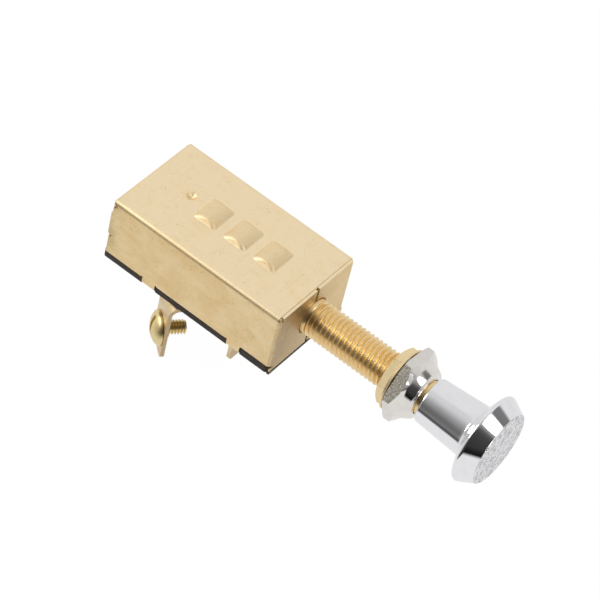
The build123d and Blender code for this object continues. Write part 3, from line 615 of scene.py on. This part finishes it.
# Floor, light and camera
def make_floor():
    """A white floor: bright to the camera, lit where it takes shadows, clear from below."""
    bpy.ops.object.select_all(action="DESELECT")
    bpy.ops.mesh.primitive_plane_add(size=6.0, location=(0, 0, FLOOR_HEIGHT * MM))
    floor = bpy.context.object
    floor.name = "floor"
    bpy.ops.object.transform_apply(location=True, rotation=True, scale=True)
    material = bpy.data.materials.new("floor_white")
    material.use_nodes = True
    tree = material.node_tree
    tree.nodes.clear()
    output = tree.nodes.new("ShaderNodeOutputMaterial")
    white = tree.nodes.new("ShaderNodeEmission")
    white.inputs["Color"].default_value = (1, 1, 1, 1)
    white.inputs["Strength"].default_value = 1.02
    lit = tree.nodes.new("ShaderNodeBsdfDiffuse")
    lit.inputs["Color"].default_value = (0.9, 0.9, 0.9, 1)
    rays = tree.nodes.new("ShaderNodeLightPath")
    share = tree.nodes.new("ShaderNodeMath")
    share.operation = "MULTIPLY"
    share.inputs[1].default_value = 0.965
    tree.links.new(rays.outputs["Is Camera Ray"], share.inputs[0])
    mix = tree.nodes.new("ShaderNodeMixShader")
    tree.links.new(share.outputs[0], mix.inputs[0])
    tree.links.new(lit.outputs[0], mix.inputs[1])
    tree.links.new(white.outputs[0], mix.inputs[2])
    under = tree.nodes.new("ShaderNodeNewGeometry")
    clear = tree.nodes.new("ShaderNodeBsdfTransparent")
    sided = tree.nodes.new("ShaderNodeMixShader")
    tree.links.new(under.outputs["Backfacing"], sided.inputs[0])
    tree.links.new(mix.outputs[0], sided.inputs[1])
    tree.links.new(clear.outputs[0], sided.inputs[2])
    tree.links.new(sided.outputs[0], output.inputs[0])
    floor.data.materials.append(material)
    floor.visible_glossy = False


def make_sky():
    """A white tent round the object: dark to one side, a bright panel high at the front right."""
    world = bpy.context.scene.world or bpy.data.worlds.new("studio")
    bpy.context.scene.world = world
    world.use_nodes = True
    tree = world.node_tree
    tree.nodes.clear()
    output = tree.nodes.new("ShaderNodeOutputWorld")
    shown = tree.nodes.new("ShaderNodeBackground")
    shown.inputs["Color"].default_value = (1, 1, 1, 1)
    shown.inputs["Strength"].default_value = 1.0
    light = tree.nodes.new("ShaderNodeBackground")
    place = tree.nodes.new("ShaderNodeTexCoord")
    way = place.outputs["Generated"]
    dark = ramp(tree, along(tree, way, DARK_WAY), -1.0, 1.0)
    tent = tree.nodes.new("ShaderNodeValToRGB")
    stops = tent.color_ramp.elements
    stops[0].position = 0.0
    stops[0].color = (1.0, 1.0, 1.0, 1)
    stops[1].position = 1.0
    stops[1].color = (0.045, 0.045, 0.047, 1)
    for position, level in TENT_LEVELS:
        stop = stops.new(position)
        stop.color = (level, level, level, 1)
    tree.links.new(dark, tent.inputs[0])
    panel = ramp(tree, along(tree, way, PANEL_WAY), 0.962, 0.972, 0.0, 4.0)
    flag = ramp(tree, along(tree, way, FLAG_WAY), 0.950, 0.985, 1.0, 0.25)
    height = along(tree, way, GROUND_WAY)
    ground = ramp(tree, height, -0.37, -0.25, 1.04, 0.0)
    low = ramp(tree, height, -0.16, 0.02, 0.28, 1.0)
    low = maths(tree, "MAXIMUM", low, ramp(tree, dark, 0.60, 0.75, 1.0, 0.0))
    shaded = maths(tree, "MULTIPLY", maths(tree, "MULTIPLY", tent.outputs[0], flag), low)
    level = maths(tree, "MAXIMUM", maths(tree, "MAXIMUM", shaded, panel), ground)
    tree.links.new(level, light.inputs["Strength"])
    rays = tree.nodes.new("ShaderNodeLightPath")
    mix = tree.nodes.new("ShaderNodeMixShader")
    tree.links.new(rays.outputs["Is Camera Ray"], mix.inputs[0])
    tree.links.new(light.outputs[0], mix.inputs[1])
    tree.links.new(shown.outputs[0], mix.inputs[2])
    tree.links.new(mix.outputs[0], output.inputs[0])


def add_lamp(name, place, aim, size, power):
    """An area lamp aimed at a point; lengths in millimetres, power in watts."""
    bpy.ops.object.select_all(action="DESELECT")
    bpy.ops.object.light_add(type="AREA", location=[value * MM for value in place])
    lamp = bpy.context.object
    lamp.name = name
    lamp.data.shape = "RECTANGLE"
    lamp.data.size = size[0] * MM
    lamp.data.size_y = size[1] * MM
    lamp.data.energy = power
    direction = Vector(aim) - Vector(place)
    lamp.rotation_euler = direction.to_track_quat("-Z", "Y").to_euler()
    return lamp


make_floor()
make_sky()
add_lamp("fill", (-330, -240, 290), LAMP_AIM, LAMP_SIZE, 0.8)

# The key lamp lights only the stem, whose thread shines more than the sheet round it
key = add_lamp("key", (-320, -290, 270), LAMP_AIM, LAMP_SIZE, 0.45)
turned_parts = bpy.data.collections.new("turned_parts")
turned_parts.objects.link(stem)
key.light_linking.receiver_collection = turned_parts

# A long lens, placed so that the view falls on the fitted edges
camera_data = bpy.data.cameras.new("camera")
camera_data.sensor_width = 36.0
camera_data.lens = 192.0
camera_data.clip_start = 0.01
camera = bpy.data.objects.new("camera", camera_data)
camera.location = Vector((191.677, -372.694, 462.575)) * MM
camera.rotation_euler = Euler([math.radians(a) for a in (41.45451, -9.76223, 38.50660)], "XYZ")
bpy.context.scene.collection.objects.link(camera)
bpy.context.scene.camera = camera
bpy.context.scene.view_settings.view_transform = "Standard"
